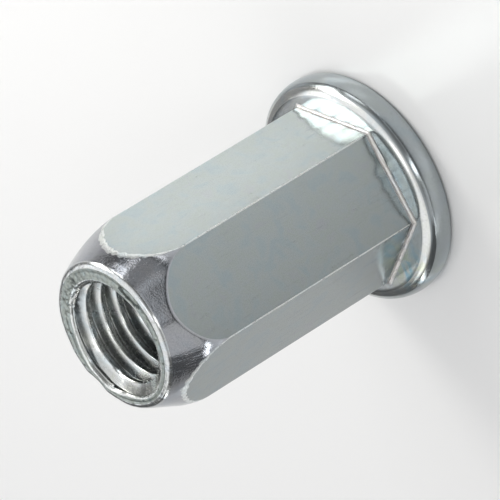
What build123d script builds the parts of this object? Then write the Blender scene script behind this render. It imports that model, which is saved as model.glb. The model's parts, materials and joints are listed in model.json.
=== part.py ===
"""
Flat-head hexagonal rivet nut, M10 x 1.5, open end.

A rivet nut is formed cold from one slug of steel, so the whole product is one
solid: a round flat flange, a hexagonal shank, a tapered round nose, and a bore
with two diameters.  The narrow end of the bore carries the thread.  The wide end
leaves a thin wall behind the flange, which folds into a bulge when the nut is set.

Frame: the origin is the centre of the flange's outer face.  +Z runs along the bore
axis from the flange to the nose.  Two corners of the hexagon lie on the X axis and
two flats face +Y and -Y.  Units are millimetres and degrees.
"""

import os
from math import cos, radians, sin, sqrt, tan

from build123d import *

# ---------------------------------------------------------------- driving dimensions

TOTAL_LENGTH = 26.3

# Thread
THREAD_DIA = 10.0              # nominal diameter
THREAD_PITCH = 1.5
THREAD_LENGTH = 12.5           # narrow part of the bore, measured from the end face
MOUTH_CHAMFER = 0.4            # where the thread opens at the end face

# Shank
THREAD_WALL = 1.5              # from the thread's nominal diameter to a flat
COUNTERBORE_WALL = 1.0         # thin wall that folds, from the wide bore to a flat
COUNTERBORE_CHAMFER = 0.3
BORE_STEP_ANGLE = 45.0         # cone between the two bores, from the axis
CORNER_ROUND = 0.15            # on the six long edges of the hexagon
NECK_FILLET = 0.25             # inside corner where the shank leaves the flange

# Flange
FLANGE_OVERHANG = 2.75         # from a flat to the widest line of the rim
FLANGE_THICKNESS = 2.3
RIM_RADIUS = 2.3               # the rim bulges outwards on this radius
RIM_WIDEST_HEIGHT = 0.85       # above the outer face
RIM_SEAT_ROUND = 0.4           # edge between the rim and the seating face
RIM_FACE_ROUND = 0.25          # edge between the rim and the outer face

# Nose
NOSE_FACE_WIDTH = 0.96         # flat ring round the mouth
NOSE_EDGE_ROUND = 0.5          # between that ring and the cone
NOSE_ANGLE = 23.5              # of the cone, from the axis
NOSE_SHOULDER_RADIUS = 7.0     # blends the cone into the corners of the hexagon

# ----------------------------------------------------------------- derived dimensions

# The bore is cut at the thread's minor diameter, as it is before it is tapped.
thread_depth = 5 / 8 * sqrt(3) / 2 * THREAD_PITCH
thread_radius = THREAD_DIA / 2 - thread_depth
thread_start_height = TOTAL_LENGTH - THREAD_LENGTH

flat_distance = THREAD_DIA / 2 + THREAD_WALL
corner_radius = flat_distance / cos(radians(30))

counterbore_radius = flat_distance - COUNTERBORE_WALL
bore_step_length = (counterbore_radius - thread_radius) / tan(radians(BORE_STEP_ANGLE))
counterbore_depth = thread_start_height - bore_step_length

flange_radius = flat_distance + FLANGE_OVERHANG


def rim_radius_at(height):
    """Radius of the bulging rim at a height above the outer face."""
    centre = flange_radius - RIM_RADIUS
    return centre + sqrt(RIM_RADIUS**2 - (height - RIM_WIDEST_HEIGHT) ** 2)


# The cone would meet the end face here if its edge were left sharp.
mouth_radius = thread_radius + MOUTH_CHAMFER
edge_setback = NOSE_EDGE_ROUND * tan(radians((90 - NOSE_ANGLE) / 2))
nose_face_radius = mouth_radius + NOSE_FACE_WIDTH + edge_setback

# The shoulder is an arc, tangent to the corners of the hexagon and to the cone.
shoulder_end_radius = corner_radius - NOSE_SHOULDER_RADIUS * (1 - cos(radians(NOSE_ANGLE)))
cone_length = (shoulder_end_radius - nose_face_radius) / tan(radians(NOSE_ANGLE))
shoulder_end_height = TOTAL_LENGTH - cone_length
shoulder_start_height = shoulder_end_height - NOSE_SHOULDER_RADIUS * sin(radians(NOSE_ANGLE))

# ---------------------------------------------------------------------- rivet nut body

with BuildPart() as rivet_nut_body:

    # Hexagonal shank, drawn from the outer face so that it runs through the flange.
    with BuildSketch(Plane.XY) as hexagon:
        RegularPolygon(flat_distance, 6, major_radius=False)
        fillet(hexagon.vertices(), radius=CORNER_ROUND)
    extrude(amount=TOTAL_LENGTH)

    # The nose is turned round.  Cutting the shank back to this profile leaves a
    # curved boundary at the end of each flat.
    with BuildSketch(Plane.XZ) as nose:
        with BuildLine():
            side = Line((corner_radius, 0), (corner_radius, shoulder_start_height))
            shoulder = TangentArc(
                side @ 1, (shoulder_end_radius, shoulder_end_height), tangent=side % 1
            )
            cone = Line(shoulder @ 1, (nose_face_radius, TOTAL_LENGTH))
            Polyline(cone @ 1, (0, TOTAL_LENGTH), (0, 0), side @ 0)
        make_face()
        face_corner = nose.vertices().sort_by_distance(cone @ 1)[0]
        fillet(face_corner, radius=NOSE_EDGE_ROUND)
    revolve(axis=Axis.Z, mode=Mode.INTERSECT)

    # Flange, with a rim that bulges as pressed metal does.
    with BuildSketch(Plane.XZ) as flange:
        with BuildLine():
            rim = ThreePointArc(
                (rim_radius_at(0), 0),
                (flange_radius, RIM_WIDEST_HEIGHT),
                (rim_radius_at(FLANGE_THICKNESS), FLANGE_THICKNESS),
            )
            Polyline(rim @ 1, (0, FLANGE_THICKNESS), (0, 0), rim @ 0)
        make_face()
        fillet(flange.vertices().sort_by_distance(rim @ 1)[0], radius=RIM_SEAT_ROUND)
        fillet(flange.vertices().sort_by_distance(rim @ 0)[0], radius=RIM_FACE_ROUND)
    revolve(axis=Axis.Z)

    # Neck: the long edges are tangent to the corner rounds, so the fillet runs all the way round.
    neck_edges = (
        rivet_nut_body.edges()
        .filter_by(GeomType.LINE)
        .filter_by_position(Axis.Z, FLANGE_THICKNESS, FLANGE_THICKNESS)
    )
    fillet(neck_edges, radius=NECK_FILLET)

    # Bore: wide behind the flange, narrow where the thread is, open at both ends.
    with BuildSketch(Plane.XZ) as bore:
        with BuildLine():
            Polyline(
                (0, 0),
                (counterbore_radius + COUNTERBORE_CHAMFER, 0),
                (counterbore_radius, COUNTERBORE_CHAMFER),
                (counterbore_radius, counterbore_depth),
                (thread_radius, thread_start_height),
                (thread_radius, TOTAL_LENGTH - MOUTH_CHAMFER),
                (mouth_radius, TOTAL_LENGTH),
                (0, TOTAL_LENGTH),
                close=True,
            )
        make_face()
    revolve(axis=Axis.Z, mode=Mode.SUBTRACT)

rivet_nut_body.part.label = "rivet_nut_body"

# ------------------------------------------------------------------------------ export

os.makedirs("parts", exist_ok=True)
export_step(rivet_nut_body.part, "parts/rivet_nut_body.step")
print(
    f"rivet_nut_body: {len(rivet_nut_body.part.solids())} solid, "
    f"{rivet_nut_body.part.volume:.1f} mm3, box {rivet_nut_body.part.bounding_box().size}"
)
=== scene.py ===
# %% [markdown]
# # A rivet nut in bright zinc plate
#
# A rivet nut is a thin-walled steel tube with a flange at one end and a thread at the
# other. It is pushed into a hole in a sheet, and pulling on the thread folds its wall
# into a bulge behind the sheet. This one has a hexagonal shank, so it can't turn in its
# hole. It is one piece of steel, so the lesson builds one mesh, and most of the work is
# in its edges, its thread and the way that plated metal mirrors a studio.
#
# The construction model gives the real sizes and the frame. It is loaded first, and its
# box is kept, because nothing that is modelled here may grow past it.

# %% Load the construction model
import json
from math import acos, atan2, ceil, cos, floor, hypot, pi, radians, sin, sqrt, tan

import bmesh
import bpy
from mathutils import Matrix, Vector, noise


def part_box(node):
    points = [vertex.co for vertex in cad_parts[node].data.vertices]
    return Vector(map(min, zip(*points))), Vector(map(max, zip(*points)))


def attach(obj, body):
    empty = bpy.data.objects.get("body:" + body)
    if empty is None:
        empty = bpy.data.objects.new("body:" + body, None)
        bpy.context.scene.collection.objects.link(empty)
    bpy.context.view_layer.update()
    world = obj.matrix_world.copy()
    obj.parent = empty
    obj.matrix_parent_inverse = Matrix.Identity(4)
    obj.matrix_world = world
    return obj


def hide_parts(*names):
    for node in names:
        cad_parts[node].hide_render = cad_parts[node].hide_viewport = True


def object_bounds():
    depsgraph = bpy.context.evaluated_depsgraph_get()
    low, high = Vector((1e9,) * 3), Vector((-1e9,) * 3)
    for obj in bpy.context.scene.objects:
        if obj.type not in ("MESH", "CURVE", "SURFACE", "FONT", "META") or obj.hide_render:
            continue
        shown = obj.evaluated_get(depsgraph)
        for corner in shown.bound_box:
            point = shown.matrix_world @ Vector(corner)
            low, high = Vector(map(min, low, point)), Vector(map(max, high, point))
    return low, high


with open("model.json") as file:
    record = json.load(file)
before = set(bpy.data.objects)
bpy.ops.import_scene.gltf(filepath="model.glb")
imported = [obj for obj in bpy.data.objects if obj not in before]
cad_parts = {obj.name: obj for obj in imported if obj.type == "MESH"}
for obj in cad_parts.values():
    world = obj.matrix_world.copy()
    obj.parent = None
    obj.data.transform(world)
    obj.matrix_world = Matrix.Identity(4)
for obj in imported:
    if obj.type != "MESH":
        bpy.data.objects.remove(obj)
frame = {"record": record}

MM = 0.001  # the scene is in metres, and the sizes below are in millimetres

cad_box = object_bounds()
print("construction box in mm:", [[round(c / MM, 3) for c in corner] for corner in cad_box])

# %% [markdown]
# ## Sizes
#
# The overall sizes, the seat's height and both bores come from the loaded model, so the
# mesh follows it. The rest are the sizes a toolmaker would put on the drawing: the
# hexagon, the rounds on its edges, the cone of the nose and the thread's form.

# %% Sizes that the construction model gives
low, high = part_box("rivet_nut_body")
mounts = {mount["name"]: mount for mount in frame["record"]["mounts"]}

LENGTH = high.z / MM
FLANGE_RADIUS = min(high.x, high.y, -low.x, -low.y) / MM
SEAT_HEIGHT = mounts["seat"]["pos_m"][2] / MM
CREST_RADIUS = mounts["thread"]["dims"]["r_mm"]
WIDE_RADIUS = mounts["counterbore"]["dims"]["r_mm"]
WIDE_START = mounts["counterbore"]["pos_m"][2] / MM
WIDE_LENGTH = mounts["counterbore"]["dims"]["length_mm"]
print(f"length {LENGTH:.2f}, flange radius {FLANGE_RADIUS:.3f}, crest radius {CREST_RADIUS}")

# %% Sizes of the forms
FLAT_DISTANCE = 6.5          # from the axis to a flat
CORNER_ROUND = 0.13          # on the long edges of the hexagon
NECK_ROUND = 0.27            # inside corner between the shank and the flange

NOSE_ANGLE = radians(23.5)   # of the cone, from the axis
SHOULDER_RADIUS = 7.0        # blends the cone into the corners of the hexagon
FACE_RADIUS = 5.876          # where the cone would meet the end face
FACE_ROUND = 0.5             # rounds that edge
BORDER_ROUND = 0.15          # softens the line between the nose and each flat

RIM_BULGE = 2.3              # radius of the flange's bulging rim
RIM_WIDEST = 0.85            # height of its widest line

THREAD_PITCH = 1.5
THREAD_DEPTH = 5 / 8 * sqrt(3) / 2 * THREAD_PITCH
THREAD_PHASE = 0.378         # height of one crest above a whole number of pitches, at angle 0,
                             # as a share of the pitch
MOUTH_RADIUS = 4.588         # where the mouth's chamfer would reach the end face
MOUTH_DROP = 0.14            # the inner edge of the end face is rolled in by this much
print(f"{2 * FLAT_DISTANCE} mm across flats, thread {THREAD_DEPTH:.3f} mm deep")

# %% [markdown]
# ## The slices
#
# A nut looks like a job for joining a prism to a few turned shapes. Joined shapes leave
# long thin faces along every seam, though, and those shade badly in polished metal.
# Here the nut is cut like a cake instead. Each upright slice is one closed outline: over
# the end face, down the nose, down a flat, round the flange and back up the bore.
# Neighbouring slices are then stitched together, so every edge of the nut runs along the
# mesh, and each round gets a few narrow rows of faces of its own.
#
# The slices stand closer together at the six corners, because a corner's small round has
# to fit between them.

# %% Where the slices stand
FLAT_STEPS = 40
CORNER_STEPS = 5


def slice_directions():
    """One (angle, radius, lean) for each slice; lean is how square the wall stands to it."""
    centre = (FLAT_DISTANCE - CORNER_ROUND) / cos(pi / 6)
    slices = []
    for side in range(6):
        corner = side * pi / 3
        for step in range(CORNER_STEPS + 1):
            turn = pi / 3 * (step / CORNER_STEPS - 0.5)
            across, out = CORNER_ROUND * sin(turn), centre + CORNER_ROUND * cos(turn)
            swing = atan2(across, out)
            slices.append((corner + swing, hypot(across, out), cos(turn - swing)))
        first = slices[-1][0]
        span = 2 * (corner + pi / 6 - first)
        for step in range(1, FLAT_STEPS):
            angle = first + span * step / FLAT_STEPS
            lean = cos(angle - corner - pi / 6)
            slices.append((angle, FLAT_DISTANCE / lean, lean))
    return slices


slices = slice_directions()
print(len(slices), "slices, from", round(min(s[1] for s in slices), 3), "to",
      round(max(s[1] for s in slices), 3), "mm from the axis")

# %% [markdown]
# ## Small helpers for outlines
#
# An outline is a list of (radius, height) points. Almost every corner on a pressed part
# is slightly round, and the round is what catches the light, so one helper softens a
# corner with a short curve. Another gives the smooth hump that dents and grooves have.

# %% Outline helpers
def between(start, end, share):
    return tuple(a + (b - a) * share for a, b in zip(start, end))


def spread(start, end, steps):
    """Evenly spaced points from start to end, both included."""
    return [between(start, end, step / steps) for step in range(steps + 1)]


def toward(start, end, distance):
    return between(start, end, distance / hypot(end[0] - start[0], end[1] - start[1]))


def soften(before, corner, after, reach, steps):
    """A short curve that replaces a corner, from reach before it to reach after it."""
    start, end = toward(corner, before, reach), toward(corner, after, reach)
    curve = []
    for step in range(steps + 1):
        share = step / steps
        curve.append(between(between(start, corner, share), between(corner, end, share), share))
    return curve


def hump(place):
    """A smooth hump, 1 at place 0 and 0 beyond -1 and 1."""
    return max(0.0, 1 - place * place) ** 2


def in_zone(zone, points):
    return [(zone, point) for point in points]


print("a square corner, softened in two steps:", soften((0, 1), (0, 0), (1, 0), 0.5, 2))

# %% [markdown]
# ## The nose
#
# The nose is turned round while the shank is hexagonal. Where the turned profile meets a
# flat it leaves a curved line, low in the middle of the flat and high at its corners. The
# profile is a straight cone and then a large arc that ends on the hexagon's corners. It
# is measured here by the distance along it, so that each slice can stop exactly where it
# meets its own flat.

# %% The turned profile
CORNER_RADIUS = FLAT_DISTANCE / cos(pi / 6)
shoulder_end = CORNER_RADIUS - SHOULDER_RADIUS * (1 - cos(NOSE_ANGLE))
edge_reach = FACE_ROUND * tan((pi / 2 - NOSE_ANGLE) / 2)
cone_top = (FACE_RADIUS + edge_reach * sin(NOSE_ANGLE), LENGTH - edge_reach * cos(NOSE_ANGLE))
cone_run = (shoulder_end - cone_top[0]) / sin(NOSE_ANGLE)
cone_bottom = (shoulder_end, cone_top[1] - cone_run * cos(NOSE_ANGLE))


def nose_point(distance):
    """The profile's point at a distance along it, from the top of the cone."""
    if distance <= cone_run:
        return between(cone_top, cone_bottom, distance / cone_run)
    tilt = NOSE_ANGLE - (distance - cone_run) / SHOULDER_RADIUS
    radius = CORNER_RADIUS - SHOULDER_RADIUS * (1 - cos(tilt))
    return radius, cone_bottom[1] - SHOULDER_RADIUS * (sin(NOSE_ANGLE) - sin(tilt))


def nose_distance(radius):
    """How far along the profile it reaches this radius."""
    if radius <= shoulder_end:
        return (radius - cone_top[0]) / sin(NOSE_ANGLE)
    tilt = acos(1 - (CORNER_RADIUS - radius) / SHOULDER_RADIUS)
    return cone_run + SHOULDER_RADIUS * (NOSE_ANGLE - tilt)


for name, radius in (("flat", FLAT_DISTANCE), ("corner", max(s[1] for s in slices))):
    drop = LENGTH - nose_point(nose_distance(radius))[1]
    print(f"the nose meets a {name} {drop:.2f} mm below the end")

# %% [markdown]
# ## The flange
#
# Pressing the head leaves a thin disc with a bulging rim. The edge between its seat and
# its rim is a wide round, which tumbling has burnished bright, and the outer edge is
# tighter. The flange doesn't know about the hexagon, so one outline serves every slice.
#
# Each stretch of an outline belongs to a zone, such as the end face or the rim. The
# zones become materials later, because the same plating looks different where the metal
# was drawn, pressed, cut or left rough.

# %% The flange, which is the same in every slice
SEAT_EDGE = 0.75             # reach of the round between the seat and the rim
SEAT_EDGE_DROP = 0.77        # how far below the seat it ends, as a share of that reach
FACE_EDGE = 0.22             # reach of the round between the rim and the outer face
BORE_EDGE = 0.06             # reach of the rounds beside the wide bore's chamfer
RIM_STEPS = 16
HEAD_STEPS = 6
WIDE_STEPS = 8


def rim_point(height):
    return (FLANGE_RADIUS - RIM_BULGE + sqrt(RIM_BULGE**2 - (height - RIM_WIDEST) ** 2), height)


seat_corner, face_corner = rim_point(SEAT_HEIGHT), rim_point(0)
rim_top = SEAT_HEIGHT - SEAT_EDGE_DROP * SEAT_EDGE
rim = [rim_point(height) for _, height in spread((0, rim_top), (0, FACE_EDGE), RIM_STEPS)]
wide_chamfer = (WIDE_RADIUS + WIDE_START, 0)  # at 45 degrees
wide_mouth = (WIDE_RADIUS, WIDE_START)
wide_bottom = (WIDE_RADIUS, WIDE_START + WIDE_LENGTH)

# The round over the seat's edge changes from seat to burnished edge to rim on its way.
edge_zones = ["seat"] * 2 + ["seat edge"] * 6 + ["rim"] * 4
seat_round = soften((0, SEAT_HEIGHT), seat_corner, rim[0], SEAT_EDGE, len(edge_zones))
head = spread(toward(face_corner, (0, 0), FACE_EDGE),
              toward(wide_chamfer, face_corner, BORE_EDGE), HEAD_STEPS)
flange_outline = (
    list(zip(edge_zones, seat_round))
    + in_zone("rim", rim[:-1])
    + in_zone("rim", soften(rim[-1], face_corner, (0, 0), FACE_EDGE, 5))
    + in_zone("head", head[1:-1])
    + in_zone("bore", soften(face_corner, wide_chamfer, wide_mouth, BORE_EDGE, 3))
    + in_zone("bore", soften(wide_chamfer, wide_mouth, wide_bottom, BORE_EDGE, 3))
    + in_zone("bore", spread((WIDE_RADIUS, WIDE_START + BORE_EDGE), wide_bottom, WIDE_STEPS)[1:])
)
print(len(flange_outline), "points from the seat round to the bottom of the wide bore")

# %% [markdown]
# ## The borders of the flats
#
# The line between the nose and a flat is a soft round. On two of the flats the press
# scraped a little metal over that line, and the scraped border is wider, ragged and
# bright. A bevel modifier would give every border one width. Here each slice asks for
# its own width, and on the fringed flats a noise makes the answer ragged.

# %% How wide a border is
FRINGE = 0.16                # extra half-width of the border where it is fringed
FRINGE_RATE = 26             # how fast it changes on the way round
FRINGE_LEVEL = 0.6           # its share of the extra width where the noise is 0
FRINGE_SWING = 1.6           # how far the noise moves that share


def fringed(angle):
    """True on the two flats where the press scraped the metal over the border."""
    side = angle % (2 * pi)
    return pi < side < 4 * pi / 3 or side > 5 * pi / 3


def border_round(angle):
    """Half-width of the rounded border between the nose and a flat."""
    if not fringed(angle):
        return BORDER_ROUND
    ragged = noise.noise(Vector((cos(angle), sin(angle), 0)) * FRINGE_RATE)
    return BORDER_ROUND + FRINGE * max(0.0, FRINGE_LEVEL + FRINGE_SWING * ragged)


print("border in the middle of a plain flat", border_round(pi / 6), "mm, of a fringed one",
      round(border_round(-pi / 6), 3), "mm")

# %% [markdown]
# ## The outside of a slice
#
# The end of the nut isn't a plain ring. Its inner edge is a rolled lip, and the cropping
# punch left a shallow ring round the middle. Below it come the nose, the border, the
# flat, the small fillet where the shank meets the flange, and the seat. One function
# walks over all of it, from the thread's mouth to the wide bore.

# %% The whole outside of one slice
LIP_STEPS = 5
FACE_STEPS = 15
EDGE_STEPS = 6
NOSE_STEPS = 14
BORDER_STEPS = 4
WALL_STEPS = 12
NECK_STEPS = 4
SEAT_STEPS = 6
LIP_WIDTH = 0.2              # rolled inner edge of the end face
GROOVE_DEPTH = 0.03          # shallow ring that the punch left on the end face
GROOVE_PLACE = 0.62          # its middle, as a share of the way from the lip to the edge
GROOVE_HALF = 0.24           # half of its width, as such a share


def end_face(lip, face_edge):
    """The end face with its shallow ring."""
    points = []
    for step in range(FACE_STEPS):
        share = step / FACE_STEPS
        sunk = GROOVE_DEPTH * hump((share - GROOVE_PLACE) / GROOVE_HALF)
        points.append((between(lip, face_edge, share)[0], LENGTH - sunk))
    return points


def outside(angle, radius, lean, mouth_radius):
    """(zone, (radius, height)) from the mouth over the outside to the wide bore."""
    reach = border_round(angle)
    border = "fringe" if fringed(angle) else "border"
    mouth = (mouth_radius, LENGTH - MOUTH_DROP)
    lip = (mouth_radius + LIP_WIDTH, LENGTH)
    face_edge = (FACE_RADIUS - edge_reach, LENGTH)
    meeting = nose_distance(radius)
    corner = nose_point(meeting)
    top = nose_point(meeting - reach)
    nose = [nose_point((meeting - reach) * step / NOSE_STEPS) for step in range(NOSE_STEPS)]
    wall = spread((radius, corner[1] - reach), (radius, SEAT_HEIGHT + NECK_ROUND), WALL_STEPS)
    neck_end = (radius + NECK_ROUND / lean, SEAT_HEIGHT)
    neck = soften((radius, LENGTH), (radius, SEAT_HEIGHT), neck_end, NECK_ROUND, NECK_STEPS)
    seat_end = toward(seat_corner, (0, SEAT_HEIGHT), SEAT_EDGE)
    seat = spread((radius + NECK_ROUND, SEAT_HEIGHT), seat_end, SEAT_STEPS)

    return (
        in_zone("lip", soften(mouth, (mouth_radius, LENGTH), lip, LIP_WIDTH, LIP_STEPS)[:-1])
        + in_zone("face", end_face(lip, face_edge))
        + in_zone("edge", soften(lip, (FACE_RADIUS, LENGTH), cone_top, edge_reach, EDGE_STEPS)[:-1])
        + in_zone("nose", nose)
        + in_zone(border, soften(top, corner, (radius, 0), reach, BORDER_STEPS)[:-1])
        + in_zone("flat", wall[:-1])
        + in_zone("neck", neck[:-1])
        + in_zone("seat", seat[:-1])
        + flange_outline
    )


print(len(outside(*slices[0], MOUTH_RADIUS)), "points on the outside of a slice")

# %% [markdown]
# ## The thread
#
# A screw thread is a ridge that climbs by one pitch in each turn. It could be a twisted
# strip laid in the bore, or a very fine grid that is pushed in and out. The strip ends in
# the air, and the grid breaks the ridge's straight edges into steps. Each slice instead
# finds where its own part of the ridge is, at a height that depends on its angle, and
# takes a point at every bend. The bore is whatever the tap, the mouth's chamfer and the
# cone at the bottom have cut away, so each point takes the largest radius of the three.
# That gives a true start and end to the thread, with its thin first ridge.
#
# The chamfering tool stood a little off the axis, so the chamfer is wider on one side.

# %% The thread's form
CREST_END = 1 / 8       # where the flat crest ends, as a share of the pitch
ROOT_START = 7 / 16     # where the flat root starts
CREST_ROUNDING = 0.10   # of the bends of the thread, as a share of the pitch
ROOT_ROUNDING = 0.035
CREST_BEND_STEPS = 4
ROOT_BEND_STEPS = 2


def thread_form():
    """One period of the thread, from crest to crest, as (share of the pitch, radius)."""
    root_radius = CREST_RADIUS + THREAD_DEPTH
    bends = [(0, CREST_RADIUS), (CREST_END, CREST_RADIUS), (ROOT_START, root_radius),
             (1 - ROOT_START, root_radius), (1 - CREST_END, CREST_RADIUS), (1, CREST_RADIUS)]
    form = []
    for before, bend, after in zip(bends, bends[1:], bends[2:]):
        if bend[1] == CREST_RADIUS:
            form += soften(before, bend, after, CREST_ROUNDING, CREST_BEND_STEPS)
        else:
            form += soften(before, bend, after, ROOT_ROUNDING, ROOT_BEND_STEPS)
    return form


FORM = thread_form()
print(len(FORM), "bends in each pitch")

# %% What each tool cuts away
MOUTH_HEIGHT = LENGTH - MOUTH_DROP
CHAMFER_FOOT = LENGTH - (MOUTH_RADIUS - CREST_RADIUS)
CHAMFER_ROWS = 6
OPENING = 0.7                # how much wider the chamfer is at its widest place
OPENING_ANGLE = radians(128)
OPENING_HALF = radians(52)


def thread_height(angle, turn, share):
    return THREAD_PITCH * (THREAD_PHASE + angle / (2 * pi) + turn + share)


def chamfer_radius(height, angle):
    """The radius that the off-axis chamfer reaches at this height and angle."""
    swing = acos(cos(angle - OPENING_ANGLE))
    return CREST_RADIUS + height - CHAMFER_FOOT + OPENING * hump(swing / OPENING_HALF)


def cone_radius(height):
    """The radius of the cone between the wide bore and the thread, which is at 45 degrees."""
    return max(WIDE_RADIUS + wide_bottom[1] - height, CREST_RADIUS)


widths = [chamfer_radius(MOUTH_HEIGHT, angle) - CREST_RADIUS for angle, _, _ in slices]
print(f"the chamfer is {min(widths):.2f} to {max(widths):.2f} mm wide at the mouth")

# %% The bore of one slice
TURNS_BELOW = 3              # spare turns of the ridge, which the other tools cut away
TURNS_ABOVE = 2
TOUCHING = 1e-9              # rounding error that still counts as touching
SHORTEST_STEP = 0.004        # points nearer than this become one


def bore_slice(angle):
    """The mouth's point, and (name, (radius, height)) down the bore of one slice."""
    first = floor(wide_bottom[1] / THREAD_PITCH) - TURNS_BELOW
    last = ceil(LENGTH / THREAD_PITCH) + TURNS_ABOVE
    ridge = [((turn, bend), (radius, thread_height(angle, turn, share)))
             for turn in range(first, last) for bend, (share, radius) in enumerate(FORM)]

    def other(height):
        return max(chamfer_radius(height, angle), cone_radius(height))

    def thread_radius(height):
        for (_, here), (_, there) in zip(ridge, ridge[1:]):
            if here[1] <= height <= there[1]:
                return between(here, there, (height - here[1]) / (there[1] - here[1]))[0]

    # The tap's own bends, and the places where its cut crosses another tool's.
    found = []
    for (name, here), (_, there) in zip(ridge, ridge[1:]):
        if wide_bottom[1] < here[1] < MOUTH_HEIGHT and here[0] >= other(here[1]) - TOUCHING:
            found.append((name, here))
        gap_here, gap_there = here[0] - other(here[1]), there[0] - other(there[1])
        if gap_here * gap_there < 0:
            cut = between(here, there, gap_here / (gap_here - gap_there))
            if wide_bottom[1] < cut[1] < MOUTH_HEIGHT:
                found.append((name + ("cut",), cut))

    # Rows on the chamfer, where it is wider than the thread.
    chamfer_depth = chamfer_radius(MOUTH_HEIGHT, angle) - CREST_RADIUS
    for row in range(1, CHAMFER_ROWS):
        height = MOUTH_HEIGHT - chamfer_depth * row / CHAMFER_ROWS
        if chamfer_radius(height, angle) > thread_radius(height):
            found.append((("chamfer", row), (chamfer_radius(height, angle), height)))

    mouth_radius = max(thread_radius(MOUTH_HEIGHT), chamfer_radius(MOUTH_HEIGHT, angle))
    mouth = (mouth_radius, MOUTH_HEIGHT)
    found.sort(key=lambda item: -item[1][1])
    kept = []
    for name, point in found:
        near = kept[-1][1] if kept else mouth
        if hypot(near[0] - point[0], near[1] - point[1]) > SHORTEST_STEP:
            kept.append((name, point))
    return mouth, kept


print(len(bore_slice(0.0)[1]), "points down the bore of the first slice")

# %% [markdown]
# ## Wear that changes the shape
#
# A part like this is made fast and tumbled in a barrel with thousands of others. Its end
# has a short dent, a knocked edge and a mouth that the tap has torn in two places. Bump in
# a material could only shade such marks. They break the outline of the end and the gleam
# on its edge, so here they move the mesh: every point goes through one function, which
# passes on most of the nut untouched.

# %% The dent in the end face
FAR_AWAY = 9                 # millimetres, which is beyond any of the marks
DENT_ANGLE = radians(-63)
DENT_RADIUS = 5.08           # from the axis to the middle of the dent
DENT_HALF_LENGTH = 1.0
DENT_HALF_WIDTH = 0.34
DENT_DEPTH = 0.17
DENT_OUTSIDE = 1.10          # its sides start at this many times its own size
DENT_SLOPE = 0.22            # and reach the bottom this much further in
CREASE = (0.84, 1.14)        # painted shade lies between these sizes of the dent's oval


def dent_oval(x, y):
    """1 on the outline of the dent, and less inside it."""
    radius, swing = hypot(x, y), atan2(y, x) - DENT_ANGLE
    along = radius * sin(swing) if cos(swing) > 0 else FAR_AWAY
    return hypot(along / DENT_HALF_LENGTH, (radius - DENT_RADIUS) / DENT_HALF_WIDTH)


def clipped(value):
    return min(1, max(0, value))


def dent_depth(x, y):
    """A short dent with steep sides and a flat bottom."""
    return DENT_DEPTH * clipped((DENT_OUTSIDE - dent_oval(x, y)) / DENT_SLOPE)


dent_middle = (DENT_RADIUS * cos(DENT_ANGLE), DENT_RADIUS * sin(DENT_ANGLE))
print("the dent is", dent_depth(*dent_middle), "mm deep")

# %% The knocked edge
UP = Vector((0, 0, 1))
KNOCK_ANGLE = radians(120)
KNOCK_HALF_WIDTH = 1.25
KNOCK_REACH = 1.5            # how far down the nose it is felt
KNOCK_FROM = 4.7             # radius where it starts, and the width over which it grows
KNOCK_GROWS = 1.0
KNOCK_IN = 0.14
KNOCK_DOWN = 0.08


def knocked(radius, angle, below_end, out):
    """A knock on the rim of the end face pushed its edge in and down."""
    swing = angle - KNOCK_ANGLE
    across = radius * sin(swing) if cos(swing) > 0 else FAR_AWAY
    size = hump(across / KNOCK_HALF_WIDTH) * max(0, 1 - (below_end / KNOCK_REACH) ** 2)
    size *= clipped((radius - KNOCK_FROM) / KNOCK_GROWS)
    return size * (-KNOCK_IN * out - KNOCK_DOWN * UP)


knock = knocked(FACE_RADIUS, KNOCK_ANGLE, 0, Vector((1, 0, 0)))
print(f"the knock moves the edge by {knock.length:.3f} mm")

# %% The cropped end
CROP_REACH = 0.9             # how far below the end it is uneven
CROP_FROM = 4.3              # radius where it starts, and the width over which it grows
CROP_GROWS = 0.3
WAVE_RATE = 3                # slow waves, on the way round and on the way out
WAVE_RATE_OUT = 0.9
WAVE_LEVEL = 0.4
WAVE_DEPTH = 0.03
WAVE_IN = 0.02
ROUGH_SIZES = (0.42, 0.2)    # the coarse and the fine roughness between the waves
ROUGH_STRETCH = 0.4          # the coarse one changes less along the axis
ROUGH_LEVEL = 0.3
ROUGH_FINE = 0.6             # weight of the fine one
ROUGH_DEPTH = 0.022


def cropped(x, y, z, radius, angle, below_end, out):
    """The end was cropped and rolled over, so it is never quite flat or quite round."""
    on_end = max(0, 1 - below_end / CROP_REACH) * clipped((radius - CROP_FROM) / CROP_GROWS)
    round_place = Vector((WAVE_RATE * cos(angle), WAVE_RATE * sin(angle), radius * WAVE_RATE_OUT))
    slow = max(0, WAVE_LEVEL + noise.noise(round_place))
    coarse, fine = ROUGH_SIZES
    rough = max(0, ROUGH_LEVEL + noise.noise(Vector((x, y, ROUGH_STRETCH * z)) / coarse))
    rough += ROUGH_FINE * max(0, noise.noise(Vector((x, y, z)) / fine))
    down = on_end * (WAVE_DEPTH * slow + ROUGH_DEPTH * rough)
    return down * UP + on_end * WAVE_IN * slow * out


low_spots = [cropped(5 * cos(a), 5 * sin(a), LENGTH, 5, a, 0, UP).length for a, _, _ in slices]
print(f"cropping lowered the end face by up to {max(low_spots):.3f} mm")

# %% The torn mouth
TORN_PLACES = ((40, 36, 0.15), (-168, 34, 0.06))  # middle, half-width in degrees, and depth
TORN_REACH = 1.4             # how far below the end the tearing goes
TORN_FROM = 4.6              # it is full up to this radius, and fades over this width
TORN_FADES = 0.7
TORN_SIZES = (0.24, 0.11)    # coarse and fine rags
TORN_LEVEL = 0.5
TORN_FINE = 0.5


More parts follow.
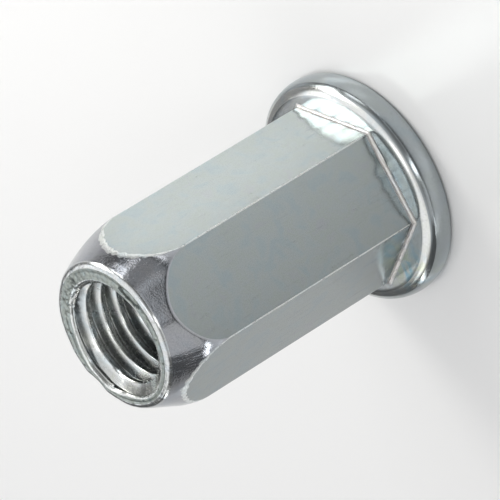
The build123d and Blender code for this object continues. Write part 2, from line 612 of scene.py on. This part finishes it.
def torn(place, radius, angle, below_end, out):
    """The tap tore the mouth in two places."""
    moved = Vector()
    coarse, fine = TORN_SIZES
    rag = noise.noise(place / coarse) + TORN_FINE * noise.noise(place / fine)
    reach = hump(below_end / TORN_REACH) * hump(clipped((radius - TORN_FROM) / TORN_FADES))
    for middle_angle, half_angle, depth in TORN_PLACES:
        swing = acos(cos(angle - radians(middle_angle)))
        size = hump(swing / radians(half_angle)) * reach
        moved += size * depth * (TORN_LEVEL + rag) * (UP - 0.5 * out)
    return moved


print("the mouth is torn in", len(TORN_PLACES), "places")

# %% All the wear together
NECK_REACH = 0.5             # zinc gathers up to this far above the seat
NECK_OUTSIDE = 8             # and inside this radius
NECK_GATHER = 0.05
NECK_SIZE = 0.7              # of the unevenness
DENT_REACH = 0.5             # the dent is in the faces this near the end
WORN_REACH = 2.2             # the end's wear stops this far below it


def worn(point):
    """Moves a point, in millimetres, by the knocks and roughness that the real part has."""
    x, y, z = point
    radius = hypot(x, y)
    above_seat = z - SEAT_HEIGHT
    if 0 < above_seat < NECK_REACH and radius < NECK_OUTSIDE:
        gather = noise.noise(Vector((x, y, 0)) / NECK_SIZE)
        gather *= NECK_GATHER * hump(above_seat / NECK_REACH)
        return x * (1 + gather / radius), y * (1 + gather / radius), z + gather
    below_end = LENGTH - z
    if below_end > WORN_REACH:
        return point
    angle = atan2(y, x)
    out = Vector((x / radius, y / radius, 0))
    moved = Vector(point) + knocked(radius, angle, below_end, out)
    if below_end < DENT_REACH:
        moved.z -= dent_depth(x, y)
    moved -= cropped(x, y, z, radius, angle, below_end, out)
    moved -= torn(Vector(point), radius, angle, below_end, out)
    moved.z = min(moved.z, LENGTH)
    return tuple(moved)


print("a point half way up stays where it is:", worn((FLAT_DISTANCE, 0, LENGTH / 2)))

# %% [markdown]
# ## Stitching the slices
#
# Outside, every slice has the same number of points, so neighbours join in quads. Down
# the bore the number changes where a ridge starts or ends. There each point has a name,
# the turn and the bend it lies on. Points with the same name are joined, and what is
# left between two joins is filled with triangles, like a zip whose sides differ.

# %% Zip two chains of named points together
def zip_up(left, right, vertices, add):
    """Joins two chains of (name, vertex), from the mouth down."""
    where = {name: place for place, (name, _) in enumerate(right)}
    pairs = []
    for place, (name, _) in enumerate(left):
        if name in where and (not pairs or where[name] > pairs[-1][1]):
            pairs.append((place, where[name]))
    for (a, b), (c, d) in zip(pairs, pairs[1:]):
        if c == a + 1 and d == b + 1:
            add((left[a][1], right[b][1], right[d][1], left[c][1]), "bore")
            continue
        while a < c or b < d:
            step_left = b == d
            if a < c and b < d:
                step_left = vertices[left[a + 1][1]][2] >= vertices[right[b + 1][1]][2]
            if step_left:
                add((left[a][1], right[b][1], left[a + 1][1]), "bore")
                a += 1
            else:
                add((left[a][1], right[b][1], right[b + 1][1]), "bore")
                b += 1


def one_turn_on(name):
    """After a whole turn, the same ridge is one turn further on."""
    if isinstance(name[0], str):
        return name
    return (name[0] - 1,) + name[1:]


print("bend 3 of turn 5 meets itself as", one_turn_on((5, 3)))

# %% Stitch all the slices
ZONES = ["flat", "corner", "border", "fringe", "neck", "nose", "edge", "face", "crease",
         "lip", "seat", "seat edge", "rim", "head", "bore"]


def stitch(slices):
    """The nut's vertices, faces and the zone of each face."""
    vertices, faces, zones = [], [], []

    def vertex(angle, point):
        radius, height = point
        place = worn((radius * cos(angle), radius * sin(angle), height))
        vertices.append([c * MM for c in place])
        return len(vertices) - 1

    def add(face, zone):
        faces.append(face)
        zones.append(zone)

    sides = []
    for angle, radius, lean in slices:
        mouth, down = bore_slice(angle)
        outline = outside(angle, radius, lean, mouth[0])
        outer = [vertex(angle, point) for _, point in outline]
        inner = [(name, vertex(angle, point)) for name, point in down]
        inner = [("mouth", outer[0])] + inner + [("foot", outer[-1])]
        sides.append((outer, [zone for zone, _ in outline], inner))

    for index, (outer, names, inner) in enumerate(sides):
        next_outer, _, next_inner = sides[(index + 1) % len(sides)]
        at_corner = index % (CORNER_STEPS + FLAT_STEPS) < CORNER_STEPS
        for row in range(len(outer) - 1):
            zone = "corner" if at_corner and names[row] == "flat" else names[row]
            if zone == "face":
                size = dent_oval(*(c / MM for c in vertices[outer[row]][:2]))
                zone = "crease" if CREASE[0] < size < CREASE[1] else "face"
            add((outer[row], outer[row + 1], next_outer[row + 1], next_outer[row]), zone)
        if index == len(sides) - 1:
            next_inner = [(one_turn_on(name), place) for name, place in next_inner]
        zip_up(inner, next_inner, vertices, add)
    return vertices, faces, zones


vertices, faces, zones = stitch(slices)
mesh = bpy.data.meshes.new("rivet_nut")
mesh.from_pydata(vertices, [], faces)
mesh.polygons.foreach_set("material_index", [ZONES.index(zone) for zone in zones])
mesh.shade_smooth()
mesh.update()
print(len(vertices), "vertices,", len(faces), "faces")

# %% Check that the mesh is closed
checked = bmesh.new()
checked.from_mesh(mesh)
open_edges = sum(not edge.is_manifold for edge in checked.edges)
volume = checked.calc_volume(signed=True) / MM**3
triangles = len(checked.calc_loop_triangles())
checked.free()
print(f"{open_edges} open edges, volume {volume:.0f} mm3, {triangles} triangles")

# %% [markdown]
# ## The piece
#
# The mesh becomes one object. It rides on the only body, and it stands for the construction
# model's solid. The Weighted Normal modifier lets the large faces decide the shading, so the
# flats stay flat right up to their rounds.

# %% Make the piece
nut = bpy.data.objects.new("rivet_nut", mesh)
bpy.context.collection.objects.link(nut)
weighted = nut.modifiers.new("flats stay flat", "WEIGHTED_NORMAL")
weighted.mode = "FACE_AREA"
weighted.weight = 50
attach(nut, "root")
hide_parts("rivet_nut_body")
print("piece", nut.name, "stands for the construction model's solid")

# %% [markdown]
# ## Building materials from nodes
#
# Each finish is a small network of nodes. A few helpers keep the networks readable. The
# first adds a node and joins its inputs, and the others wrap the nodes used most often:
# arithmetic, a noise, a soft step, and the place on the nut in millimetres.

# %% Node helpers
def add_node(tree, kind, inputs=None, **settings):
    node = tree.nodes.new(kind)
    for name, value in settings.items():
        setattr(node, name, value)
    for name, value in (inputs or {}).items():
        if isinstance(value, bpy.types.NodeSocket):
            tree.links.new(value, node.inputs[name])
        else:
            node.inputs[name].default_value = value
    return node


def calculate(tree, operation, *values, clamp=False):
    inputs = dict(enumerate(values))
    return add_node(tree, "ShaderNodeMath", inputs, operation=operation, use_clamp=clamp).outputs[0]


def scaled(tree, vector, factor):
    inputs = {0: vector, "Scale": factor}
    return add_node(tree, "ShaderNodeVectorMath", inputs, operation="SCALE").outputs[0]


def measured(tree, operation, *vectors):
    """One number from vectors, such as the distance between two places."""
    inputs = dict(enumerate(vectors))
    return add_node(tree, "ShaderNodeVectorMath", inputs, operation=operation).outputs["Value"]


print("helpers for nodes and arithmetic ready")

# %% Steps, noises and colours
def soft_step(tree, value, start, end):
    """0 where the value is start, and 1 where it is end, with a soft change between."""
    inputs = {"Value": value, "From Min": start, "From Max": end}
    return add_node(tree, "ShaderNodeMapRange", inputs, interpolation_type="SMOOTHSTEP").outputs[0]


def noise_at(tree, place, scale, detail=2.0, distortion=0.0):
    inputs = {"Vector": place, "Scale": scale, "Detail": detail, "Distortion": distortion}
    return add_node(tree, "ShaderNodeTexNoise", inputs).outputs["Fac"]


def multiplied(tree, share, first, second):
    """The first colour, multiplied by the second as far as the share says."""
    inputs = {0: share, 6: first, 7: second}  # a Mix node's factor and its two colours
    mix = add_node(tree, "ShaderNodeMix", inputs, data_type="RGBA", blend_type="MULTIPLY")
    return mix.outputs[2]


print("helpers for steps, noises and colours ready")

# %% Places on the nut
def millimetres(tree):
    """The place on the nut, in millimetres."""
    return scaled(tree, tree.nodes.new("ShaderNodeTexCoord").outputs["Object"], 1 / MM)


def apart(tree, vector):
    """The vector's X, Y and Z."""
    return add_node(tree, "ShaderNodeSeparateXYZ", {0: vector}).outputs


def from_axis(tree):
    """How far the place on the nut is from its axis."""
    spot = apart(tree, millimetres(tree))
    level = add_node(tree, "ShaderNodeCombineXYZ", {"X": spot["X"], "Y": spot["Y"]}).outputs[0]
    return measured(tree, "LENGTH", level)


print("helpers for places ready")

# %% Groups
def new_group(name, inputs, outputs):
    """A node group with named sockets; inputs are (name, kind, value)."""
    group = bpy.data.node_groups.new(name, "ShaderNodeTree")
    for label, kind, value in inputs:
        kind = "NodeSocket" + kind
        socket = group.interface.new_socket(label, in_out="INPUT", socket_type=kind)
        socket.default_value = value
    for label, kind in outputs:
        group.interface.new_socket(label, in_out="OUTPUT", socket_type="NodeSocket" + kind)
    given = group.nodes.new("NodeGroupInput").outputs
    return group, given, group.nodes.new("NodeGroupOutput").inputs


def placed(tree, group, **values):
    """A group, put in a material; Grain_mm sets its input Grain mm."""
    node = add_node(tree, "ShaderNodeGroup", node_tree=group)
    for name, value in values.items():
        node.inputs[name.replace("_", " ")].default_value = value
    return node


print("group helpers ready")

# %% [markdown]
# ## Passivation
#
# Zinc plate is dipped in a passivating bath, which leaves a film thin enough to tint the
# light. The tint drifts slowly over the part: bluish here, greenish or faintly pink
# there. A painted gradient would look the same on each nut, so the drift is a slow noise
# that picks its place in a row of pale tints. The tints multiply the metal's own colour.
#
# The bath ran off at one corner of the seat. The film is thickest there, so its
# tints are stronger. That whole side of the nut also gets painted shade: its colour is
# darkened toward the drain's direction, more on some finishes than on others.

# %% Passivation tint, a group
# One input of this group sets how much painted shade falls on the side toward the drain.
passivation, given, made = new_group(
    "passivation tint",
    [("Metal", "Color", (0.5, 0.5, 0.5, 1)), ("Strength", "Float", 0.5),
     ("Cloud mm", "Float", 4.0), ("Thick film", "Float", 0.0), ("Drained", "Float", 0.0)],
    [("Color", "Color"), ("Cloud", "Float")],
)
CLOUD_PLACE = (31, 17, 5)    # which part of the endless noise is used
spot = add_node(passivation, "ShaderNodeVectorMath",
                {0: millimetres(passivation), 1: CLOUD_PLACE}, operation="ADD").outputs[0]
cloud_rate = calculate(passivation, "DIVIDE", 1.0, given["Cloud mm"])
cloud = noise_at(passivation, spot, cloud_rate, detail=3.0, distortion=0.6)
passivation.links.new(cloud, made["Cloud"])
print("a slow noise for", passivation.name)

# %% The row of tints
TINTS = (
    (0.25, (0.30, 0.64, 1.0)),   # blue
    (0.38, (0.38, 0.86, 1.0)),   # cyan
    (0.46, (0.90, 1.0, 0.96)),   # almost bare metal
    (0.53, (1.0, 0.99, 0.97)),
    (0.59, (0.86, 1.0, 0.55)),   # yellow-green
    (0.66, (1.0, 0.97, 0.92)),
    (0.76, (0.95, 0.74, 1.0)),   # lilac
)
tints = add_node(passivation, "ShaderNodeValToRGB", {"Fac": cloud})
ramp = tints.color_ramp
ramp.interpolation = "B_SPLINE"
for place, colour in TINTS:
    stop = ramp.elements.new(place)
    stop.color = (*colour, 1)
ramp.elements.remove(ramp.elements[0])
ramp.elements.remove(ramp.elements[-1])
print(len(ramp.elements), "tints")

# %% Where the bath ran off, and the painted shade on that side
DRAIN = Vector((-7.4, -3.2, 0.0))  # where the last of the bath ran off
DRAIN_OUTSIDE, DRAIN_FULL = 4.2, 1.0   # the film grows thicker between these distances
# The painted shade grows between these distances across the nut, toward the drain.
SIDE_SHADE_START, SIDE_SHADE_FULL = -4.0, 6.5      # across the nut, toward the drain

near = measured(passivation, "DISTANCE", millimetres(passivation), DRAIN)
thick = soft_step(passivation, near, DRAIN_OUTSIDE, DRAIN_FULL)
strength = calculate(passivation, "MULTIPLY_ADD", thick, given["Thick film"], given["Strength"],
                     clamp=True)
tinted = multiplied(passivation, strength, given["Metal"], tints.outputs["Color"])

# Painted shade: the colour is darkened on the side of the nut toward the drain.
toward_drain = measured(passivation, "DOT_PRODUCT", millimetres(passivation), DRAIN.normalized())
side_shade = add_node(passivation, "ShaderNodeMapRange",
                {"Value": toward_drain, "From Min": SIDE_SHADE_START, "From Max": SIDE_SHADE_FULL}).outputs[0]
side_shade = calculate(passivation, "MULTIPLY", side_shade, given["Drained"])
unshaded_share = calculate(passivation, "SUBTRACT", 1.0, side_shade)
passivation.links.new(scaled(passivation, tinted, unshaded_share), made["Color"])
print("group:", passivation.name)

# %% [markdown]
# ## Grain
#
# Plating grows as fine crystals over steel that was already slightly rough. Up close that
# is a fine, even grain with a few pits. One noise gives the grain, and a second one, with
# only its lowest values kept, gives the pits.

# %% Plating grain, a group
PIT_EDGE, PIT_FLOOR = 0.42, 0.32     # values of the coarse noise where pits start and are full

grain, given, made = new_group(
    "plating grain",
    [("Grain mm", "Float", 0.1), ("Pit mm", "Float", 0.4), ("Pits", "Float", 0.5)],
    [("Height", "Float"), ("Pit", "Float")],
)
spot = millimetres(grain)
fine = noise_at(grain, spot, calculate(grain, "DIVIDE", 1.0, given["Grain mm"]))
coarse = noise_at(grain, spot, calculate(grain, "DIVIDE", 1.0, given["Pit mm"]))
pit = calculate(grain, "MULTIPLY", soft_step(grain, coarse, PIT_EDGE, PIT_FLOOR), given["Pits"])
grain.links.new(calculate(grain, "SUBTRACT", fine, pit), made["Height"])
grain.links.new(pit, made["Pit"])
print("group:", grain.name)

# %% [markdown]
# ## Draw lines
#
# The shank is drawn through a die and the nose is pressed down over a punch. Both leave
# short scratches along the axis. The noise is laid on unrolled coordinates, round the
# nut and along it, and stretched along the axis.

# %% Draw lines, a group
LINE_EDGE, LINE_FULL = 0.56, 0.70    # values of the noise that count as a scratch

draw_lines, given, made = new_group(
    "draw lines",
    [("Width mm", "Float", 0.12), ("Length mm", "Float", 2.0)],
    [("Height", "Float"), ("Line", "Float")],
)


def unrolled(tree, across, along):
    return add_node(tree, "ShaderNodeCombineXYZ", {"X": across, "Y": along}).outputs[0]


def way_round(tree, spot):
    """Millimetres round the nut, measured at the flats."""
    turn = calculate(tree, "ARCTAN2", spot["Y"], spot["X"])
    return calculate(tree, "MULTIPLY", turn, FLAT_DISTANCE)


spot = apart(draw_lines, millimetres(draw_lines))
around = calculate(draw_lines, "DIVIDE", way_round(draw_lines, spot), given["Width mm"])
along = calculate(draw_lines, "DIVIDE", spot["Z"], given["Length mm"])
streak = noise_at(draw_lines, unrolled(draw_lines, around, along), 1.0)
draw_lines.links.new(streak, made["Height"])
draw_lines.links.new(soft_step(draw_lines, streak, LINE_EDGE, LINE_FULL), made["Line"])
print("group:", draw_lines.name)

# %% [markdown]
# ## Tool marks
#
# The tap, the cropping tool and the flanging punch all leave marks that run round the
# axis. The same noise can show them, if it is laid out by its distance from the axis and
# its height instead, and stretched round the nut.

# %% Tool marks, a group
tool_marks, given, made = new_group(
    "tool marks",
    [("Width mm", "Float", 0.1), ("Length mm", "Float", 4.0)],
    [("Height", "Float")],
)
spot = apart(tool_marks, millimetres(tool_marks))
slanted = calculate(tool_marks, "SUBTRACT", from_axis(tool_marks), spot["Z"])
across = calculate(tool_marks, "DIVIDE", slanted, given["Width mm"])
around = calculate(tool_marks, "DIVIDE", way_round(tool_marks, spot), given["Length mm"])
marks = noise_at(tool_marks, unrolled(tool_marks, across, around), 1.0)
tool_marks.links.new(marks, made["Height"])
print("group:", tool_marks.name)

# %% [markdown]
# ## Marks in one place
#
# Two effects belong to one finish each, so they are helpers and not groups. The thread gets
# painted highlight on its crests and painted shade in its roots, as a factor on its colour
# that follows the distance from the axis. And the nose has one scuffed spot, where it
# knocked against other parts in the tumbling barrel.

# %% Helpers for the thread and the scuff
# Painted highlight on the crests and painted shade in the roots, as factors on the colour.
CREST_HIGHLIGHT, ROOT_SHADE = 1.2, 0.8   # factors on the metal's colour
SHADE_RAMP_FROM, SHADE_RAMP_TO = 0.05, 0.45  # how far above the crests' radius they hold
SCUFF_MIDDLE = (4.3, -4.5, 25.2)
SCUFF_OUTSIDE, SCUFF_FULL = 1.9, 0.5


def crest_highlight_root_shade(tree):
    """Painted highlight on the thread's crests and painted shade in its roots, as a factor on the
    colour.
    """
    limits = {"Value": from_axis(tree),
              "From Min": CREST_RADIUS + SHADE_RAMP_FROM, "From Max": CREST_RADIUS + SHADE_RAMP_TO,
              "To Min": CREST_HIGHLIGHT, "To Max": ROOT_SHADE}
    return add_node(tree, "ShaderNodeMapRange", limits, interpolation_type="SMOOTHSTEP").outputs[0]


def scuff(tree):
    """1 in the middle of the scuffed spot, fading to 0 round it."""
    near = measured(tree, "DISTANCE", millimetres(tree), SCUFF_MIDDLE)
    return soft_step(tree, near, SCUFF_OUTSIDE, SCUFF_FULL)


print("helpers for the thread and the scuff ready")

# %% [markdown]
# ## The recipe
#
# All the finishes are the same plating over the same steel, so one recipe makes them all
# and each finish only sets its amounts. The colour is the tinted metal, darkened a
# little by the grain. The roughness follows the clouds of the film, the pits and the
# scratches. The heights of the grain, the scratches, the tool marks and a slow wave are
# added in micrometres, and one Bump node reads them.

# %% One recipe for all the finishes
MICROMETRE = 1e-6
PIT_SIZE = 4                 # of the pits, as a number of grains
MARK_LENGTH = 5.0
LEAST_ROUGH, CLOUD_ROUGH = 0.8, 0.35  # shares of a finish's roughness
PIT_ROUGH = 0.35
LINE_ROUGH = 0.12


def zinc(name, colour, roughness, grain_size=0.10, grain_depth=1.0, pits=0.3, scuffed=0.0,
         mottle=0.15, tint=0.1, cloud=2.0, thick=0.0, side_shading=0.0, wave=0.0,
         lines=0.0, line_width=0.12, line_length=2.0, marks=0.0, mark_width=0.1, shade_roots=False):
    """A zinc finish. Depths are in micrometres, and the other sizes in millimetres."""
    material = bpy.data.materials.new(name)
    material.use_nodes = True
    tree = material.node_tree
    shader = tree.nodes["Principled BSDF"]
    shader.inputs["Metallic"].default_value = 1.0

    film = placed(tree, passivation, Metal=(*colour, 1), Strength=tint, Cloud_mm=cloud,
                  Thick_film=thick, Drained=side_shading).outputs
    crystals = placed(tree, grain, Grain_mm=grain_size, Pit_mm=grain_size * PIT_SIZE, Pits=pits)
    if scuffed:
        more_pits = calculate(tree, "MULTIPLY_ADD", scuff(tree), scuffed, pits)
        tree.links.new(more_pits, crystals.inputs["Pits"])
    crystals = crystals.outputs
    drawn = placed(tree, draw_lines, Width_mm=line_width, Length_mm=line_length).outputs
    turned = placed(tree, tool_marks, Width_mm=mark_width, Length_mm=MARK_LENGTH).outputs

    light = calculate(tree, "MULTIPLY_ADD", crystals["Height"], 2 * mottle, 1 - mottle)
    # Painted shade in the thread's roots and painted highlight on its crests.
    if shade_roots:
        light = calculate(tree, "MULTIPLY", light, crest_highlight_root_shade(tree))
    grey = {"Red": light, "Green": light, "Blue": light}
    shade = add_node(tree, "ShaderNodeCombineColor", grey).outputs[0]
    tree.links.new(multiplied(tree, 1.0, film["Color"], shade), shader.inputs["Base Color"])

    rough = calculate(tree, "MULTIPLY_ADD", film["Cloud"], CLOUD_ROUGH * roughness,
                      LEAST_ROUGH * roughness)
    rough = calculate(tree, "MULTIPLY_ADD", crystals["Pit"], PIT_ROUGH, rough)
    rough = calculate(tree, "MULTIPLY_ADD", drawn["Line"], LINE_ROUGH * min(1.0, lines), rough,
                      clamp=True)
    tree.links.new(rough, shader.inputs["Roughness"])

    height = calculate(tree, "MULTIPLY", crystals["Height"], grain_depth)
    height = calculate(tree, "MULTIPLY_ADD", drawn["Height"], lines, height)
    height = calculate(tree, "MULTIPLY_ADD", turned["Height"], marks, height)
    height = calculate(tree, "MULTIPLY_ADD", film["Cloud"], wave, height)
    bump = {"Strength": 1.0, "Distance": MICROMETRE, "Height": height}
    tree.links.new(add_node(tree, "ShaderNodeBump", bump).outputs[0], shader.inputs["Normal"])
    print("finish:", name)
    return material


# %% [markdown]
# ## The finishes of the outside
#
# The flats are smooth and gently mottled, with faint draw lines. The nose was pressed
# hard over the punch, so it is polished but streaky. The long edges are burnished by
# tumbling, and so are the lip and the fringed borders.

# %% Flats, edges and nose
FINISHES = {
    # The flats toward the drain get painted shade.
    "flat": zinc("zinc on the flats", (0.365, 0.400, 0.408), roughness=0.17,
                 grain_depth=0.5, pits=0.05, tint=0.13, cloud=1.4, thick=0.6, side_shading=0.29,
                 wave=3, lines=0.8, line_width=0.2, line_length=4.0),
    "corner": zinc("burnished zinc", (0.68, 0.70, 0.70), roughness=0.28, mottle=0.4),
    "nose": zinc("zinc on the nose", (0.43, 0.44, 0.47), roughness=0.13,
                 grain_size=0.13, grain_depth=5.0, pits=0.12, scuffed=1.1, tint=0.08,
                 lines=3.5, line_length=1.2),
}
print(len(FINISHES), "finishes so far")

# %% [markdown]
# ## The finishes of the end
#
# The end face was cropped and stays dull and blotched, with round tool marks. Its outer
# edge is burnished, and the crease round the dent gets a dark painted shade.

# %% End face
FINISHES["edge"] = zinc("burnished edge of the end", (0.62, 0.635, 0.645), roughness=0.2,
                        grain_size=0.13, grain_depth=3.0, mottle=0.2, cloud=1.0, lines=2.0)
# The crease is painted dark, as painted shade on the dent's sloping sides.
FINISHES["crease"] = zinc("dirt in a crease", (0.10, 0.11, 0.105), roughness=0.5,
                          grain_size=0.13, grain_depth=6.0, mottle=0.5, cloud=1.0)
FINISHES["face"] = zinc("zinc on the cropped end", (0.335, 0.365, 0.352), roughness=0.33,
                        grain_size=0.22, grain_depth=14.0, pits=0.45, mottle=0.6,
                        tint=0.15, cloud=0.6, wave=20, marks=8.0, mark_width=0.12)
print(len(FINISHES), "finishes so far")

# %% [markdown]
# ## The finishes of the flange and the bore
#
# Zinc grows thick and pale in the neck. The seat and its burnished edge lie where the
# bath ran off, so they take most of the passivation's colour, and the seat also takes a
# little painted shade on that side. The bore is bright but torn by the tap.

# %% Neck, flange and thread
FINISHES["neck"] = zinc("thick zinc in the neck", (0.72, 0.70, 0.69), roughness=0.42,
                        grain_size=0.12, grain_depth=6.0, pits=0.5, cloud=1.0, wave=20)
FINISHES["seat"] = zinc("zinc on the seat", (0.435, 0.455, 0.465), roughness=0.17,
                        grain_depth=0.8, pits=0.1, cloud=1.6, thick=0.95, side_shading=0.1,
                        wave=6, marks=0.5, mark_width=0.3)
FINISHES["seat edge"] = zinc("burnished edge of the seat", (0.66, 0.67, 0.67), roughness=0.2,
                             pits=0.2, thick=0.8, marks=0.8, mark_width=0.3)
FINISHES["rim"] = zinc("zinc on the rim", (0.42, 0.455, 0.475), roughness=0.20,
                       pits=0.1, cloud=2.5, thick=0.2, marks=0.8, mark_width=0.3)
# The thread's colour carries painted shade in its roots and painted highlight on its crests.
FINISHES["bore"] = zinc("zinc in the thread", (0.60, 0.61, 0.61), roughness=0.23,
                        grain_size=0.12, grain_depth=1.5, pits=0.2, tint=0.15, cloud=1.5,
                        marks=3.0, mark_width=0.06, shade_roots=True)

SAME_AS = {"border": "nose", "fringe": "corner", "lip": "corner", "head": "rim"}
for zone in ZONES:
    mesh.materials.append(FINISHES[SAME_AS.get(zone, zone)])
print(len(FINISHES), "finishes on", len(ZONES), "zones")

# %% [markdown]
# ## The floor and the sky
#
# Polished metal shows its surroundings, so the surroundings are half of its look. The
# floor is a plain pale sheet with a faint gloss. Overhead hangs a soft dome of light,
# like a white ceiling, which reaches further down behind the nut than in front of it.
# Below the dome the room is dim, and that gives the metal its dark parts.

# %% Floor
FLOOR_GAP = 0.02             # below the nut, so that the two faces don't flicker
FLOOR_HALF = 8.0             # metres


def plain_floor(half):
    corners = [(x * half, y * half, 0) for x, y in ((-1, -1), (1, -1), (1, 1), (-1, 1))]
    sheet = bpy.data.meshes.new("floor")
    sheet.from_pydata(corners, [], [(0, 1, 2, 3)])
    floor_object = bpy.data.objects.new("floor", sheet)
    bpy.context.collection.objects.link(floor_object)
    floor_object.location.z = cad_box[0].z - FLOOR_GAP * MM
    paper = bpy.data.materials.new("pale paper")
    paper.use_nodes = True
    shader = paper.node_tree.nodes["Principled BSDF"]
    shader.inputs["Base Color"].default_value = (0.9, 0.9, 0.9, 1)
    shader.inputs["Roughness"].default_value = 0.3
    shader.inputs["Specular IOR Level"].default_value = 1.0
    sheet.materials.append(paper)
    return floor_object


floor_sheet = plain_floor(FLOOR_HALF)
print("floor at z", round(floor_sheet.location.z / MM, 3), "mm")

# %% Sky
DOME_FROM, DOME_FULL = 0.52, 0.72      # Z of the directions where the dome starts and is full
DOME_FRONT, DOME_BACK = -0.65, -0.1    # Y of those where it is weakest and strongest
DOME_WEAK = 0.1
DOME_BRIGHTNESS = 1.05
ROOM_BRIGHTNESS = 0.12

world = bpy.data.worlds.new("studio")
bpy.context.scene.world = world
world.use_nodes = True
sky = world.node_tree
toward_sky = apart(sky, sky.nodes.new("ShaderNodeTexCoord").outputs["Generated"])
overhead = soft_step(sky, toward_sky["Z"], DOME_FROM, DOME_FULL)
behind = add_node(sky, "ShaderNodeMapRange",
                  {"Value": toward_sky["Y"], "From Min": DOME_FRONT, "From Max": DOME_BACK,
                   "To Min": DOME_WEAK}).outputs[0]
dome = calculate(sky, "MULTIPLY", overhead, behind)
glow = calculate(sky, "MULTIPLY_ADD", dome, DOME_BRIGHTNESS, ROOM_BRIGHTNESS)
background = sky.nodes["Background"]
sky.links.new(glow, background.inputs["Strength"])
background.inputs["Color"].default_value = (1, 1, 1, 1)
print("dome brightness", DOME_BRIGHTNESS, "over a room of", ROOM_BRIGHTNESS)

# %% [markdown]
# ## The soft boxes
#
# The lamps are soft boxes: plain bright rectangles, which show as such in the metal. Each
# is described by where it stands round the nut, how large it is and how bright its face
# looks, and the helper works out its power from that. A large dim box gives a flat its
# even grey, and a narrow bright strip gives an edge or a patch of the nose its gleam.

# %% Soft box helper
middle = (cad_box[0] + cad_box[1]) / 2


def around_nut(azimuth, elevation, distance):
    """A point at this many millimetres from the middle of the nut; the angles in degrees."""
    turn, rise = radians(azimuth), radians(elevation)
    direction = Vector((cos(rise) * cos(turn), cos(rise) * sin(turn), sin(rise)))
    return middle + distance * MM * direction


def soft_box(name, azimuth, elevation, distance, width, height, brightness, colour=(1, 1, 1)):
    lamp = bpy.data.lights.new(name, "AREA")
    lamp.shape = "RECTANGLE"
    lamp.size, lamp.size_y = width * MM, height * MM
    lamp.energy = brightness * pi * lamp.size * lamp.size_y
    lamp.color = colour
    box = bpy.data.objects.new(name, lamp)
    bpy.context.collection.objects.link(box)
    box.location = around_nut(azimuth, elevation, distance)
    box.rotation_euler = (middle - box.location).to_track_quat("-Z", "Y").to_euler()
    box.visible_camera = False
    print(f"{name}: {lamp.energy * 1000:.0f} mW")


print("soft boxes stand round", [round(c / MM, 2) for c in middle])

# %% Large boxes
soft_box("right box", -10, 19, 418, 147, 129, 2.2)
soft_box("left box", 141, 34, 383, 124, 60, 1.5)
soft_box("back box", 77, 39, 117, 101, 28, 1.1)
soft_box("front box", -128, 21, 800, 590, 440, 0.6)
soft_box("front right box", -74, 22, 345, 360, 68, 0.55)
soft_box("dim right box", -19, 14, 424, 640, 82, 0.25)

# %% Strips and small boxes
soft_box("right strip", 68, 8, 105, 165, 55, 0.2)
soft_box("low strip", 47, 3, 158, 53, 20, 0.4)
soft_box("left strip", 152, 11, 186, 16, 62, 5.0)
soft_box("low left strip", -151, 3, 159, 46, 13, 3.4)
soft_box("near box", 20, 29, 112, 34, 62, 7.0, colour=(1.0, 0.985, 0.94))
soft_box("high box", -98, 44, 870, 110, 170, 3.3)
soft_box("upper front box", -97, 33, 500, 130, 170, 2.0)
soft_box("top box", -66, 84, 500, 120, 120, 1.5)
soft_box("low right strip", -34, 2, 260, 90, 13, 2.4)

# %% [markdown]
# ## The camera
#
# A long lens from far away keeps the six edges almost parallel. The camera looks down on
# the front of the standing nut and is then rolled, so that the nut seems to lie on its
# side with its threaded end toward us.

# %% Camera
AIM = Vector((0.13, 0.02, 0.461 * LENGTH)) * MM
CAMERA_AZIMUTH, CAMERA_ELEVATION = radians(-82.96), radians(33.26)
CAMERA_DISTANCE = 373.86
CAMERA_ROLL = radians(-121.6)

camera_data = bpy.data.cameras.new("camera")
camera_data.lens = 361.886
camera_data.sensor_width = 36
camera = bpy.data.objects.new("camera", camera_data)
bpy.context.collection.objects.link(camera)
level = cos(CAMERA_ELEVATION)
look = Vector((level * cos(CAMERA_AZIMUTH), level * sin(CAMERA_AZIMUTH), sin(CAMERA_ELEVATION)))
camera.location = AIM + look * CAMERA_DISTANCE * MM
facing = (AIM - camera.location).to_track_quat("-Z", "Y").to_matrix().to_4x4()
rolled = facing @ Matrix.Rotation(CAMERA_ROLL, 4, "Z")
camera.matrix_world = Matrix.Translation(camera.location) @ rolled
bpy.context.scene.camera = camera
bpy.context.scene.view_settings.view_transform = "Standard"
print("camera at", [round(c / MM, 1) for c in camera.location])
